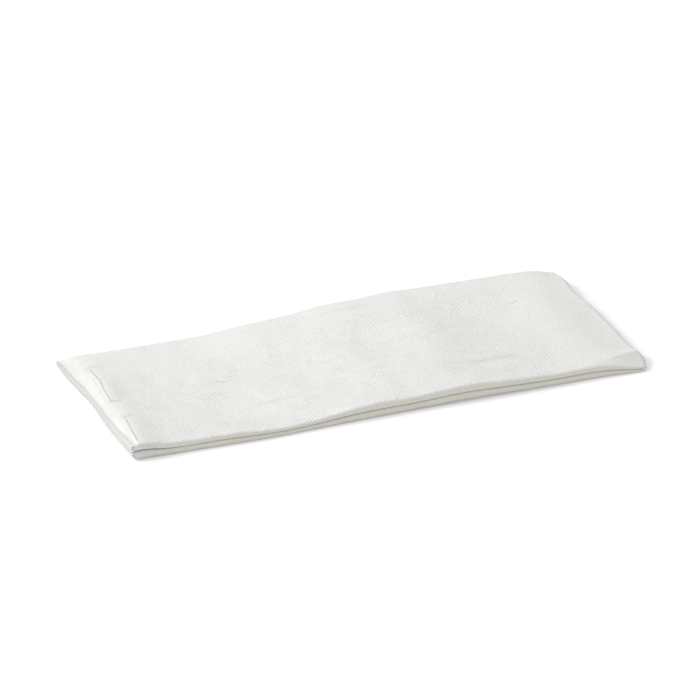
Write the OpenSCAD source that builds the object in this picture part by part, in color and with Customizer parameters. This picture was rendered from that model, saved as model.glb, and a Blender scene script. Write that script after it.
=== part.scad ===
// Paper table napkin, folded to an eighth of its sheet and lying flat.
// Length runs along X and width along Y, and the napkin rests on Z = 0.
// The sheet is four panels wide. It is folded in half, and again in half, so
// that four panels lie on each other, and then once across its length.
// The last fold is at +X and the open end at -X. The folded front is at -Y.

/* [Folded napkin] */
// Length from the open end to the last fold
folded_length = 216; // [150:1:260]
// Width from the front folds to the back folds
folded_width = 95; // [70:1:130]

/* [Tissue] */
// Thickness of one layer of embossed two-ply tissue
layer_t = 0.4; // [0.2:0.05:0.6]
// Air between two layers that lie on each other
layer_gap = 0.16; // [0.08:0.02:0.3]
// How far the innermost layers stand out past the outermost at the open end
end_slant = 1; // [0.2:0.1:2.5]
// How far the inner fold at the front stays short of the fold that wraps it
fold_setback = 1; // [0:0.1:3]

/* [Pressed edge] */
// Length of one pressed pad along the open end
pad_length = 37; // [10:1:60]
// Plain gap between two pads
pad_gap = 16; // [4:1:20]
// Width of a pad, from the open end inwards
pad_width = 8; // [3:0.5:12]
// Depth to which a pad is pressed into the outer layer
pad_depth = 0.1; // [0.02:0.01:0.15]
// Distance from the back of the napkin to the first gap between pads
first_gap = 0; // [0:1:30]

/* [Hidden] */

// Distance between the middles of two layers
pitch = layer_t + layer_gap;
// Layers in half the napkin, from its middle plane outwards
half_layers = 4;
// Height from the middle plane to the outermost surface
half_height = (half_layers - 0.5) * pitch + layer_t / 2;
// Radius of the sheet's middle in a tight fold, and in one that wraps it
tight_r = pitch / 2;
wide_r = 3 * pitch / 2;
// Centre lines of the front folds and of the back folds
front_y = -folded_width / 2 + wide_r + layer_t / 2;
back_y = folded_width / 2 - tight_r - layer_t / 2;
// How far a free edge runs past the back folds' centre line
free_run = PI * tight_r / 2;
// Centre line of the last fold
fold_x = folded_length / 2 - half_height;
// Room that a cut leaves around the solid
clear = 1;
$fn = 96;

// Height of a layer's middle above the middle plane, for layer 0 to 3
function layer_z(i) = (i + 0.5) * pitch;

// Section of a fold of the sheet, round to -Y for side -1 and to +Y for side 1
module fold_section(r, side) {
    intersection() {
        difference() {
            circle(r = r + layer_t / 2);
            circle(r = r - layer_t / 2);
        }
        translate([side > 0 ? 0 : -2 * r, -2 * r]) square([2 * r, 4 * r]);
    }
}

// Section of one straight layer of the sheet, from start_y to end_y
module layer_section(i, start_y, end_y) {
    translate([start_y, layer_z(i) - layer_t / 2]) square([end_y - start_y, layer_t]);
}

// Section of the four panels on one side of the middle plane. One panel wraps the
// other three: its fold at the back leads to the second panel, and the two inner
// panels end there as free edges.
module panels_section() {
    inner_y = front_y + fold_setback;
    layer_section(0, front_y, back_y + free_run);
    layer_section(1, inner_y, back_y + free_run);
    layer_section(2, inner_y, back_y);
    layer_section(3, front_y, back_y);
    translate([front_y, 2 * pitch]) fold_section(wide_r, -1);
    translate([inner_y, 2 * pitch]) fold_section(tight_r, -1);
    translate([back_y, 3 * pitch]) fold_section(tight_r, 1);
}

// The four panels above the middle plane, from the open end to the last fold
module upper_panels() {
    translate([-folded_length / 2, 0, 0])
        rotate([90, 0, 90])
            linear_extrude(height = fold_x + folded_length / 2) panels_section();
}

// The last fold, where the four panels turn over together about the middle plane
module last_fold() {
    translate([fold_x, 0, 0])
        rotate([90, 90, 0])
            rotate_extrude(angle = 180) rotate(-90) panels_section();
}

// Wedge that trims the open end above the middle plane to its slant
module end_trim() {
    outer_x = -folded_length / 2;
    inner_z = layer_gap / 2;
    slope = end_slant / (half_height - inner_z);
    translate([0, folded_width / 2 + clear, 0])
        rotate([90, 0, 0])
            linear_extrude(height = folded_width + 2 * clear)
                polygon([
                    [outer_x, inner_z],
                    [outer_x + end_slant + clear * slope, half_height + clear],
                    [outer_x - clear, half_height + clear],
                    [outer_x - clear, inner_z],
                ]);
}

// Pads pressed along the open end into the outer layer above the middle plane
module edge_pads() {
    period = pad_length + pad_gap;
    pads = ceil(folded_width / period);
    for (i = [0:pads])
        translate([
            -folded_length / 2 - clear,
            folded_width / 2 - first_gap - i * period,
            half_height - pad_depth,
        ])
            cube([pad_width + clear, pad_length, clear]);
}

// Everything above the middle plane but the last fold
module upper_half() {
    difference() {
        upper_panels();
        end_trim();
        edge_pads();
    }
}

module folded_napkin() {
    color("white")
        translate([0, 0, half_height]) {
            upper_half();
            mirror([0, 0, 1]) upper_half();
            last_fold();
        }
}

folded_napkin();
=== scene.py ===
"""A paper table napkin, folded to an eighth of its sheet, lying on a plain white floor.

Sizes in the classes are in millimetres, in the part's own frame: X runs along the
napkin to its last fold, Y across it to the back, and Z up from the floor. Meshes
are made in metres.
"""

import logging
import math
from dataclasses import dataclass, field
from enum import Enum
from typing import Any, Iterable

import bpy
import numpy as np
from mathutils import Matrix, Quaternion, Vector

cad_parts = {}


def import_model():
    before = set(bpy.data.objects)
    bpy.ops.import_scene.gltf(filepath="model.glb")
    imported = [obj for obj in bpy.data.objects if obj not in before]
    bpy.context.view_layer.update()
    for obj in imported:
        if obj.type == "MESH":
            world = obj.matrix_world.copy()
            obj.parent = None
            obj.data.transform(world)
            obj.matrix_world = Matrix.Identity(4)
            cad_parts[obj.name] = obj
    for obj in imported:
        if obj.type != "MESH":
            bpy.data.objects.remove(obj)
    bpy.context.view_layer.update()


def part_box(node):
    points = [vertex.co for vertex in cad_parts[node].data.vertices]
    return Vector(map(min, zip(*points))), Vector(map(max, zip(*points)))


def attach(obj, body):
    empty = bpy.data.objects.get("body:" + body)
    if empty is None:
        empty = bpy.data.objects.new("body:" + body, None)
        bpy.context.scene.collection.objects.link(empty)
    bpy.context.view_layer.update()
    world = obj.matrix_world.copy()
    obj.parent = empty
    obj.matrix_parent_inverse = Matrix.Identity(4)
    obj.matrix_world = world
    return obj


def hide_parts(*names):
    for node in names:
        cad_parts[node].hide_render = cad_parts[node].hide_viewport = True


MM = 0.001
NODE = "folded_napkin"
PLACE = "sheet_place"

log = logging.getLogger("napkin")


class Run(Enum):
    """The stretches of the sheet, in order across its width."""

    INNER_LINING = "panel against the middle plane"
    FRONT_FOLD = "outer fold at the front"
    OUTER_PANEL = "panel that shows on top and below"
    BACK_FOLD = "fold at the back"
    SECOND_PANEL = "panel under the outer one"
    INNER_FOLD = "inner fold at the front"
    THIRD_PANEL = "panel between the inner ones"


class Mask(Enum):
    """What each point of the sheet keeps for its emboss, its finish and its painted shade and bounce light.
    """

    EMBOSS = "emboss"  # 1 where the mesh has the dots' slopes
    PLAIN = "plain"  # 1 where the dots are flat
    PRESSED = "pressed"  # 1 inside a pad
    PAD_RUN = "pad_run"  # 1 where a pad's groove runs
    FROM_END = "from_end"  # metres from the open end, plus what the pads are narrower there
    # painted warm bounce light: 1 in the folds and between the layers
    BOUNCE_LIGHT = "painted_bounce_light"  # 1 in the folds and between the layers
    # painted shade: 1 in a crease of the outer panel
    CREASE_SHADE = "crease_shade"  # 1 in a crease of the outer panel
    # painted shade: 1 at the cut edges of the layers
    CUT = "cut"  # 1 at the cut edges


def eased(low: float, high: float, value: np.ndarray) -> np.ndarray:
    """A smooth step from 0 at low to 1 at high.

    Args:
        low: Where the step begins.
        high: Where it ends; it may be below low.
        value: The places at which it is taken.

    Returns:
        Values from 0 to 1.
    """
    t = np.clip((value - low) / (high - low), 0.0, 1.0)
    return t * t * (3.0 - 2.0 * t)


def swell(centre: float, reach: float, value: np.ndarray) -> np.ndarray:
    """A bell of height 1 at centre, which fades out over about twice its reach."""
    return np.exp(-(((value - centre) / reach) ** 2))


@dataclass(frozen=True)
class Step:
    """A smooth step along one line of the napkin.

    Attributes:
        height: How much it adds from its end on.
        start: Where it begins.
        end: Where it is complete; it may be below start.
    """

    height: float
    start: float
    end: float

    def at(self, place: np.ndarray) -> np.ndarray:
        """What the step adds at each place."""
        return self.height * eased(self.start, self.end, place)


@dataclass(frozen=True)
class Bell:
    """A soft bump or dip along one line of the napkin.

    Attributes:
        height: Its height, below zero for a dip.
        centre: Where it is highest.
        reach: How far from there it has come down to about a third.
    """

    height: float
    centre: float
    reach: float

    def at(self, place: np.ndarray) -> np.ndarray:
        """What the bell adds at each place."""
        return self.height * swell(self.centre, self.reach, place)


@dataclass(frozen=True)
class Wave:
    """An even wave along one line of the napkin.

    Attributes:
        height: Height of its crests.
        length: Distance over which it turns by one radian.
        phase: Its angle at zero.
    """

    height: float
    length: float
    phase: float = 0.0

    def at(self, place: np.ndarray) -> np.ndarray:
        """What the wave adds at each place."""
        return self.height * np.sin(place / self.length + self.phase)


@dataclass(frozen=True)
class Profile:
    """A soft line along the napkin: a level with steps, bells and waves on it.

    Attributes:
        level: Its value where nothing is added.
        parts: What is added to it.
    """

    level: float
    parts: tuple[Step | Bell | Wave, ...]

    def at(self, place: np.ndarray) -> np.ndarray:
        """The line's value at each place."""
        return sum((part.at(place) for part in self.parts), start=self.level)


@dataclass(frozen=True)
class Ripple:
    """Soft, irregular waves over the napkin, the same at every run.

    Attributes:
        seed: Seed of the waves' directions and phases.
        shortest: Shortest wavelength.
        longest: Longest wavelength.
        waves: How many waves are added up.
        height: About the height of the highest crests.
    """

    seed: int
    shortest: float
    longest: float
    waves: int = 9
    height: float = 1.0

    def at(self, x: np.ndarray, y: np.ndarray) -> np.ndarray:
        """Adds up the waves.

        Args:
            x: Places along the napkin.
            y: Places across it.

        Returns:
            The waves' height at each place.
        """
        rng = np.random.default_rng(self.seed)
        total = np.zeros(np.broadcast(x, y).shape)
        for _ in range(self.waves):
            turn, phase = rng.uniform(0, math.tau, 2)
            length = rng.uniform(self.shortest, self.longest)
            along = x * math.cos(turn) + y * math.sin(turn)
            total = total + np.sin(math.tau * along / length + phase)
        return self.height * (total / math.sqrt(2.0 * self.waves))


@dataclass(frozen=True)
class Crease:
    """A short straight crease in the outer panel.

    Attributes:
        start: Its first end, as (x, y).
        end: Its other end.
        height: Height of its middle line, below zero for a groove.
        reach: Half width over which it fades out.
        taper: Length over which it fades out at each end.
        past: Share of that length that lies past the crease's own end.
    """

    start: tuple[float, float]
    end: tuple[float, float]
    height: float
    reach: float = 0.7
    taper: float = 2.5
    past: float = 0.6

    def at(self, x: np.ndarray, y: np.ndarray) -> np.ndarray:
        """Works out the crease over the napkin.

        Args:
            x: Places along the napkin.
            y: Places across it.

        Returns:
            The crease's height at each place.
        """
        ax, ay = self.start
        dx, dy = self.end[0] - ax, self.end[1] - ay
        size = math.hypot(dx, dy)
        along = ((x - ax) * dx + (y - ay) * dy) / size
        across = ((x - ax) * dy - (y - ay) * dx) / size
        out, within = self.past * self.taper, (1 - self.past) * self.taper
        fade = eased(-out, within, along) * eased(size + out, size - within, along)
        return self.height * fade * swell(0.0, self.reach, across)


@dataclass(frozen=True)
class FoldedSize:
    """The folded napkin's outer sizes, and the places that follow from them.

    Attributes:
        length: Length from the open end to the last fold.
        width: Width from the front folds to the back folds.
        height: Nominal thickness, from the lowest panel to the highest.
        layer: Thickness of one layer.
        layers: How many layers lie on each other.
    """

    length: float
    width: float
    height: float
    layer: float = 0.4
    layers: int = 8

    @property
    def pitch(self) -> float:
        """Distance between the middles of two layers."""
        return (self.height - self.layer) / (self.layers - 1)

    @property
    def left(self) -> float:
        """Where the open end is."""
        return -self.length / 2

    @property
    def right(self) -> float:
        """Where the last fold ends."""
        return self.length / 2

    @property
    def front(self) -> float:
        """Where the front folds end."""
        return -self.width / 2

    @property
    def back(self) -> float:
        """Where the back folds end."""
        return self.width / 2

    @property
    def half(self) -> float:
        """Height of the middle plane."""
        return self.height / 2


@dataclass(frozen=True)
class PressedEdge:
    """The row of pads pressed along the napkin's open end, which hold its plies together.

    Attributes:
        size: The napkin's outer sizes.
        width: Width of a pad at the back, from the open end inwards.
        pad: Length of one pad.
        gap: Plain gap between two pads.
        first_gap: Distance from the napkin's back to the first gap.
        narrowing: How much narrower the pads are, across the napkin.
        depth: Depth to which a pad is pressed into the outer layer.
        side_ramp: Half width of the slope at a pad's inner side.
        groove: Extra depth of the line along that side.
        groove_reach: Half width of that line.
        start_ramp: Where a pad's outline begins and where it is full, from a gap's end.
        stop_ramp: Where it is gone and where it was last full, from the next gap.
        soft_ramp: Half length of the soft step in thickness between a gap and a pad.
        off_front: Distances from the front fold at which the line begins and is full.
        off_back: The same from the back fold.
        tick: Length of the small crease that a pad's corner draws into the panel.
        tick_turn: How far to the back that crease runs.
        tick_depth: Its depth.
        tick_margin: Least distance between such a crease and the folds.
    """

    size: FoldedSize
    width: float = 8.0
    pad: float = 37.0
    gap: float = 16.0
    first_gap: float = 0.0
    narrowing: Profile = Profile(0.0, (Step(2.8, 30, -6), Step(2.7, -20, -47)))
    depth: float = 0.16
    side_ramp: float = 0.5
    groove: float = 0.20
    groove_reach: float = 0.65
    start_ramp: tuple[float, float] = (-0.7, 0.5)
    stop_ramp: tuple[float, float] = (0.1, -0.9)
    soft_ramp: float = 3.5
    off_front: tuple[float, float] = (0.8, 4.0)
    off_back: tuple[float, float] = (0.8, 3.0)
    tick: float = 3.6
    tick_turn: float = 0.6
    tick_depth: float = 0.40
    tick_margin: float = 2.0

    @property
    def period(self) -> float:
        """Distance from one pad to the next."""
        return self.pad + self.gap

    def lean(self, y: np.ndarray) -> np.ndarray:
        """How far the pads' inner side has come towards the open end at each place."""
        return self.narrowing.at(y)

    def inside(self, x: np.ndarray, y: np.ndarray) -> np.ndarray:
        """Distance of each place from the open end, plus what the pads are narrower there."""
        return x - self.size.left + self.lean(y)

    def along(self, y: np.ndarray) -> np.ndarray:
        """Works out the pads' outline along the open end.

        Args:
            y: Places across the napkin.

        Returns:
            0 in a gap, 1 in a pad and a short ramp between them.
        """
        place = np.mod(self.size.back - self.first_gap - y, self.period)
        begin, full = self.start_ramp
        gone, last = self.stop_ramp
        started = eased(self.gap + begin, self.gap + full, place)
        return started * eased(self.period + gone, self.period + last, place)

    def along_softly(self, y: np.ndarray) -> np.ndarray:
        """The same as along, but with long soft steps, for the pads' own thickness.

        Args:
            y: Places across the napkin.

        Returns:
            0 in a gap, 1 in a pad and a long ramp between them.
        """
        middle, half_gap = self.period / 2, 0.5 * self.gap
        place = np.mod(self.size.back - self.first_gap - y + middle, self.period)
        from_gap = np.abs(place - middle - half_gap)
        return eased(half_gap - self.soft_ramp, half_gap + self.soft_ramp, from_gap)

    def on_panel(self, y: np.ndarray) -> np.ndarray:
        """The same as along, but fading out towards the folds at the front and the back.

        Args:
            y: Places across the napkin.

        Returns:
            1 in a pad on the flat of the panel, 0 in a gap and at the folds.
        """
        front, back = self.size.front, self.size.back
        off_front = eased(front + self.off_front[0], front + self.off_front[1], y)
        off_back = eased(back - self.off_back[0], back - self.off_back[1], y)
        return self.along(y) * (off_front * off_back)

    def dent(self, x: np.ndarray, y: np.ndarray) -> np.ndarray:
        """Works out the pads' relief.

        Args:
            x: Places along the napkin.
            y: Places across it.

        Returns:
            Depth of the pads and of the line along their inner side.
        """
        inside = self.inside(x, y)
        pad = self.depth * self.along_softly(y)
        pad = pad * eased(self.width + self.side_ramp, self.width - self.side_ramp, inside)
        return pad + self.groove * self.on_panel(y) * swell(self.width, self.groove_reach, inside)

    def corners(self) -> list[Crease]:
        """Places the small creases at the pads' inner corners.

        Returns:
            The creases, from the back to the front.
        """
        nearest, farthest = self.size.front + self.tick_margin, self.size.back - self.tick_margin
        creases = []
        y = self.size.back - self.first_gap
        while y > self.size.front:
            for corner in (y, y - self.gap):
                if nearest < corner < farthest:
                    x = self.size.left + self.width - float(self.lean(np.array(corner)))
                    tip = (x + self.tick, corner + self.tick_turn)
                    creases.append(Crease((x, corner), tip, -self.tick_depth))
            y -= self.period
        return creases


@dataclass(frozen=True)
class OpenGap:
    """A gap between two layers that stands open at the napkin's open end.

    Attributes:
        steps: How many layers it is above the middle plane, below zero for under it.
        rise: How far it opens.
        ripple: The unevenness of its opening.
    """

    steps: int
    rise: float
    ripple: Ripple


@dataclass(frozen=True)
class RoundedCorner:
    """A corner at the last fold, drawn in because soft tissue rounds it.

    Attributes:
        side: -1 at the front, 1 at the back.
        tuck: How far its tip is drawn in.
        reach: Distance from the tip over which this fades out.
    """

    side: int
    tuck: float
    reach: float


@dataclass(frozen=True)
class SoftLie:
    """How the evenly folded napkin settles: its swell, its outline, its air and its creases.

    Attributes:
        size: The napkin's outer sizes.
        edge: The pads along its open end.
        along_front: What is added to the thickness along the front.
        along_back: The same along the back.
        along_middle: The same along the middle.
        crown: Height of the even crown across the napkin.
        blend_past: How far past the front and the back their two lines blend.
        lumps: Soft lumps in the thickness.
        thin_corner: How much thinner the back corner is, by the distance from its tip.
        thin_fold: Share by which the last fold is thinner.
        fold_reach: How far from the last fold that begins.
        thin_pads: Share by which the napkin is thinner at the pads.
        thin_gaps: How much of that is left in the gaps between the pads.
        thin_past: How far past the pads that thinning begins.
        bulge: The bulge on the inner side of the pads, across the napkin.
        bulge_off: How far from the pads its crest is.
        bulge_reach: Half width of the bulge.
        hollow: Depth of the soft hollow in the top panel past the bulge.
        hollow_off: How far from the pads its middle is.
        hollow_reach: Its half width.
        corner_from: A point on the ridge of the bent front corner.
        corner_way: The way in which that ridge runs.
        corner_slope: How steeply the corner is bent down past the ridge.
        corner_soft: Half width of the ridge.
        front_stands: How far the front stands off the floor.
        front_where: Where along the front it does so.
        front_lift_to: Where, across the napkin, the floor is met again.
        end_stands: How far the open end stands off the floor.
        end_lift: How far from the open end the floor is met again.
        pad_stands: How much more it does so at the pads.
        floor_waves: The waves of the underside.
        floor_gap: Mean height of those waves.
        floor_least: Least height of a point above the floor.
        gaps: The gaps that stand open at the open end.
        gap_even: Share of a gap's opening that is the same all along it.
        gap_reach: How far from the open end the gaps are closed.
        gap_off_front: Distances from the front at which a gap between panels begins and is full.
        gap_off_back: The same from the back.
        drifts: For each mode of the air between the layers, its waves over the napkin.
        drift: How strongly the air is drawn from layer to layer.
        drift_most: Height at which those waves are cut off.
        drift_inside: Share of the drift that is left far from the open end.
        drift_reach: How far from the open end it is down to that share.
        rumple: The fine unevenness of the panels.
        skin: Share of the thickness, at the top and below, that takes the creases and the pads.
        front_line: How far the front is moved, to +Y, along the napkin.
        back_line: How far the back is.
        end_line: How far the last fold is moved, to +X, across the napkin.
        open_line: How far the open end is.
        still_front: Where, across the napkin, the front's move has faded out.
        still_back: The same for the back's.
        still_fold: Where, along the napkin, the last fold's move has faded out.
        still_open: The same for the open end's.
        corners: The rounded corners at the last fold.
        corner_share: Share of a corner's tuck that is taken across the napkin.
        creases: The creases that handling has left in the outer panel.
    """

    size: FoldedSize
    edge: PressedEdge
    along_front: Profile = Profile(
        1.0, (Bell(-1.8, -50, 21), Bell(0.9, 18, 30), Step(-0.35, 30, 60), Step(-0.8, 86, 110))
    )
    along_back: Profile = Profile(-1.8, (Step(4.1, -70, 30), Bell(0.4, 33, 9), Step(-1.1, 78, 112)))
    along_middle: Profile = Profile(0.0, (Bell(0.70, 26, 15), Bell(-0.40, 60, 13), Bell(0.45, 86, 10)))
    crown: float = 0.4
    blend_past: tuple[float, float] = (20.0, 10.0)
    lumps: Ripple = Ripple(3, 22, 55, height=0.40)
    thin_corner: Step = Step(0.6, 16, 0)
    thin_fold: float = 0.1
    fold_reach: float = 18.0
    thin_pads: float = 0.30
    thin_gaps: float = 0.6
    thin_past: float = 1.0
    bulge: Profile = Profile(0.50, (Step(0.30, 0, -35),))
    bulge_off: float = 2.0
    bulge_reach: float = 7.5
    hollow: float = 0.22
    hollow_off: float = 6.5
    hollow_reach: float = 4.5
    corner_from: tuple[float, float] = (88.5, -43.6)
    corner_way: tuple[float, float] = (19.5, 7.6)
    corner_slope: float = 0.16
    corner_soft: float = 1.5
    front_stands: float = 0.55
    front_where: Bell = Bell(1.0, 38, 34)
    front_lift_to: float = 10.0
    end_stands: float = 0.25
    end_lift: float = 20.0
    pad_stands: float = 0.2
    floor_waves: Ripple = Ripple(5, 40, 90)
    floor_gap: float = 0.08
    floor_least: float = 0.02
    gaps: tuple[OpenGap, ...] = (
        OpenGap(0, 0.60, Ripple(31, 24, 70, 5, 0.35)),
        OpenGap(-3, 0.25, Ripple(32, 24, 70, 5, 0.35)),
        OpenGap(3, 0.34, Ripple(33, 24, 70, 5, 0.35)),
    )
    gap_even: float = 0.65
    gap_reach: float = 30.0
    gap_off_front: tuple[float, float] = (1.0, 9.0)
    gap_off_back: tuple[float, float] = (0.0, 7.0)
    drifts: tuple[tuple[int, Ripple], ...] = (
        (2, Ripple(11, 35, 120, 6)),
        (3, Ripple(12, 35, 120, 6)),
        (4, Ripple(13, 35, 120, 6)),
        (6, Ripple(14, 35, 120, 6)),
    )
    drift: float = 0.24
    drift_most: float = 1.2
    drift_inside: float = 0.5
    drift_reach: float = 60.0
    rumple: Ripple = Ripple(21, 7, 18, 14, 0.08)
    skin: float = 0.12
    front_line: Profile = Profile(
        0.7, (Bell(-0.95, -54, 20), Bell(0.5, 14, 32), Bell(0.3, 84, 14), Step(-1.5, 88, 109))
    )
    back_line: Profile = Profile(-0.6, (Step(2.4, -45, 30), Bell(0.9, 33, 9), Step(-0.7, 60, 110)))
    end_line: Profile = Profile(
        -0.6, (Bell(0.9, 8, 14), Step(-0.5, -12, -26), Bell(4.0, 47, 13), Bell(0.9, -41, 7))
    )
    open_line: Wave = Wave(0.35, 11.0, 1.0)
    still_front: float = 25.0
    still_back: float = 0.0
    still_fold: float = 40.0
    still_open: float = -60.0
    corners: tuple[RoundedCorner, ...] = (RoundedCorner(-1, 1.8, 6.0), RoundedCorner(1, 2.6, 8.0))
    corner_share: float = 0.55
    creases: tuple[Crease, ...] = (
        Crease((-57.8, 1.2), (-54.0, -1.2), -0.26),
        Crease((-50.0, -25.2), (-34.0, -25.6), -0.14),
        Crease((3.0, 40.0), (24.0, 38.6), -0.11),
        Crease((24.0, -27.0), (40.0, -26.6), -0.09),
        Crease((41.0, -27.0), (59.5, -26.0), -0.16, 1.9, 7.0),
        Crease((75.8, 19.1), (79.7, 20.2), -0.24),
        Crease((51.8, 39.3), (49.8, 35.6), 0.22, 0.6, 1.6),
        Crease((-101.4, 45.6), (-99.8, 42.4), -0.16, 0.55),
        Crease((-105.2, -17.2), (-102.6, -14.6), -0.10, 0.55),
        Crease((96.0, -40.7), (112.0, -34.4), 0.60, 3.2, 16.0),
        Crease((91.0, -42.6), (108.0, -36.0), 0.22, 0.7, 7.0),
    )

    def every_crease(self) -> list[Crease]:
        """The creases of the outer panel, with those at the pads' corners."""
        return [*self.creases, *self.edge.corners()]

    def thickness(self, x: np.ndarray, y: np.ndarray) -> np.ndarray:
        """Works out the napkin's thickness: thin where it is pressed, full at its folds.

        Args:
            x: Places along the napkin.
            y: Places across it.

        Returns:
            Thickness of the whole napkin at each place.
        """
        size, edge = self.size, self.edge
        inside = edge.inside(x, y)
        pad_share = self.thin_gaps + (1 - self.thin_gaps) * edge.along_softly(y)
        pressed = eased(edge.width + self.thin_past, 0.0, inside) * pad_share
        past_front, past_back = self.blend_past
        share = eased(size.front - past_front, size.back + past_back, y)
        middle = np.clip(1 - (2 * y / size.width) ** 2, 0, 1)
        t = size.height + self.along_front.at(x) * (1 - share) + self.along_back.at(x) * share
        t = t + self.crown * middle
        t = t - self.thin_corner.at(np.hypot(x - size.right, y - size.back))
        t = t + middle * self.along_middle.at(x)
        t = t + self.bulge.at(y) * swell(edge.width + self.bulge_off, self.bulge_reach, inside)
        t = t + self.lumps.at(x, y)
        at_fold = eased(size.right - self.fold_reach, size.right, x)
        return t * (1 - self.thin_pads * pressed) * (1 - self.thin_fold * at_fold)

    def corner_drop(self, x: np.ndarray, y: np.ndarray) -> np.ndarray:
        """Works out how the front corner at the last fold is bent down.

        Args:
            x: Places along the napkin.
            y: Places across it.

        Returns:
            The drop, which is zero on the inner side of the corner's ridge.
        """
        way = np.array(self.corner_way)
        way /= np.hypot(*way)
        past = (x - self.corner_from[0]) * way[1] - (y - self.corner_from[1]) * way[0]
        bend = (past + self.corner_soft) ** 2 / (np.abs(past) + 2 * self.corner_soft)
        return self.corner_slope * np.where(past > -self.corner_soft, bend, 0.0)

    def opened(self, x: np.ndarray, y: np.ndarray, share: np.ndarray) -> np.ndarray:
        """How far a point is raised by the air between loose layers at the open end.

        Args:
            x: Places along the napkin.
            y: Places across it.
            share: Share of the nominal thickness that is below each point.

        Returns:
            The rise, more for each loose gap that is below the point.
        """
        size = self.size
        half_gap = (size.pitch - size.layer) / 2 / size.height
        off_front = eased(size.front + self.gap_off_front[0], size.front + self.gap_off_front[1], y)
        off_back = eased(size.back - self.gap_off_back[0], size.back - self.gap_off_back[1], y)
        rise = np.zeros(share.shape)
        for gap in self.gaps:
            place = 0.5 + gap.steps * size.pitch / size.height
            near = off_front * off_back if gap.steps else 1.0
            wave = self.gap_even + gap.ripple.at(x, y)
            rise = rise + gap.rise * near * wave * eased(place - half_gap, place + half_gap, share)
        return rise * eased(size.left + self.gap_reach, size.left, x)

    def drifted(self, x: np.ndarray, y: np.ndarray, share: np.ndarray) -> np.ndarray:
        """Spreads the air unevenly between the layers, most of all near the open end.

        Args:
            x: Places along the napkin.
            y: Places across it.
            share: Share of the nominal thickness that is below each point.

        Returns:
            The same share after the air has moved, in the same order from layer to layer.
        """
        at_end = eased(self.size.left + self.drift_reach, self.size.left, x)
        near = self.drift_inside + (1 - self.drift_inside) * at_end
        moved = share.copy()
        for mode, ripple in self.drifts:
            wave = np.clip(ripple.at(x, y), -self.drift_most, self.drift_most)
            angle = math.pi * mode
            moved += self.drift * near * wave * np.sin(angle * share) / angle
        return moved

    def lift(self, x: np.ndarray, y: np.ndarray) -> np.ndarray:
        """Works out how the napkin's underside stands off the floor.

        Args:
            x: Places along the napkin.
            y: Places across it.

        Returns:
            Height of the underside at each place.
        """
        size = self.size
        front = eased(self.front_lift_to, size.front, y) * self.front_where.at(x)
        end = eased(size.left + self.end_lift, size.left, x)
        end = end * (self.end_stands + self.pad_stands * self.edge.along(y))
        return self.front_stands * front + end + self.floor_gap * (1 + self.floor_waves.at(x, y))

    def marks(self, x: np.ndarray, y: np.ndarray) -> np.ndarray:
        """Works out the fine relief of the top panel, without the pads.

        Args:
            x: Places along the napkin.
            y: Places across it.

        Returns:
            Height of the creases, the fine unevenness and the hollow inside the pads.
        """
        edge = self.edge
        relief = sum(crease.at(x, y) for crease in self.every_crease()) + self.rumple.at(x, y)
        hollow = swell(edge.width + self.hollow_off, self.hollow_reach, edge.inside(x, y))
        return relief - self.hollow * edge.along_softly(y) * hollow

    def raised(self, x: np.ndarray, y: np.ndarray, z: np.ndarray) -> np.ndarray:
        """Moves points of the evenly folded napkin up or down to where soft tissue lies.

        Args:
            x: Places along the napkin.
            y: Places across it.
            z: Heights above its middle plane.

        Returns:
            The new heights, from the floor up.
        """
        share = (z + self.size.half) / self.size.height
        height = self.thickness(x, y) - self.corner_drop(x, y)
        dent = self.edge.dent(x, y)
        top, under = eased(1.0 - self.skin, 1.0, share), eased(self.skin, 0.0, share)
        new_z = self.lift(x, y) + height * self.drifted(x, y, share) + self.opened(x, y, share)
        return np.maximum(new_z + top * (self.marks(x, y) - dent) + under * dent, self.floor_least)

    def settle(self, x: np.ndarray, y: np.ndarray, z: np.ndarray) -> tuple[np.ndarray, ...]:
        """Moves points of the evenly folded napkin to where soft tissue lies.

        Args:
            x: Places along the napkin.
            y: Places across it.
            z: Heights above its middle plane.

        Returns:
            The new x, y and z, with z from the floor up.
        """
        size = self.size
        at_front, at_back = eased(self.still_front, size.front, y), eased(self.still_back, size.back, y)
        at_fold, at_open = eased(self.still_fold, size.right, x), eased(self.still_open, size.left, x)
        new_y = y + at_front * self.front_line.at(x) + at_back * self.back_line.at(x)
        new_x = x + at_fold * self.end_line.at(y) + at_open * self.open_line.at(y)
        for corner in self.corners:
            tip = corner.side * size.width / 2
            near = swell(0.0, corner.reach, np.hypot(x - size.right, y - tip))
            new_x = new_x - corner.tuck * near
            new_y = new_y - self.corner_share * corner.tuck * near * corner.side
        return new_x, new_y, self.raised(x, y, z)


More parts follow.
